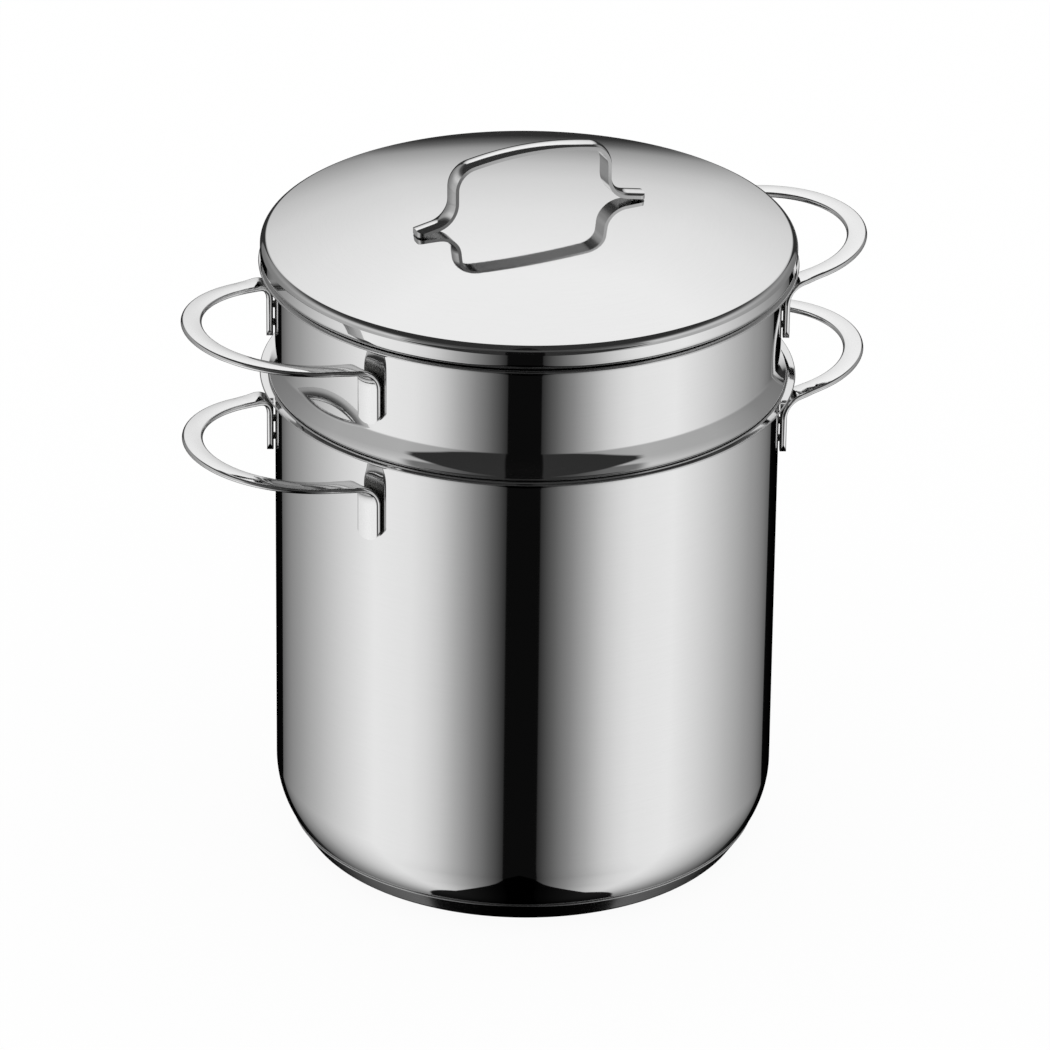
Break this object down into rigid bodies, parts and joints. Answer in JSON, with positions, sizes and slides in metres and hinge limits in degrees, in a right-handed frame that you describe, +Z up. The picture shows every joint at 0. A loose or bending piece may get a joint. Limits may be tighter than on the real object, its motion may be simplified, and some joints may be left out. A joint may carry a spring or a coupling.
{
  "type": "pasta_pot",
  "caption": "Tall mirror-polished stainless steel pasta pot with a perforated insert, domed lid and flat strap loop handles",
  "frame": {"origin": "the middle of the base's flat underside, on the pot's axis", "axes": "+Z up along the pot's axis, X through the middles of the side handles, Y across them"},
  "size_m": [0.2648, 0.1932, 0.2695],
  "materials": {
    "polished_steel": "mirror-polished stainless steel",
    "satin_steel": "satin stainless steel, turned marks round the axis",
    "core_aluminium": "plain, sealed inside the base"
  },
  "bodies": {
    "root": {"pot_shell": "polished_steel", "base_cap": "satin_steel", "base_core": "core_aluminium", "pot_handle_left": "polished_steel", "pot_handle_right": "polished_steel", "insert_shell": "polished_steel", "insert_handle_left": "polished_steel", "insert_handle_right": "polished_steel", "lid_shell": "polished_steel", "lid_handle": "polished_steel"}
  },
  "joints": []
}
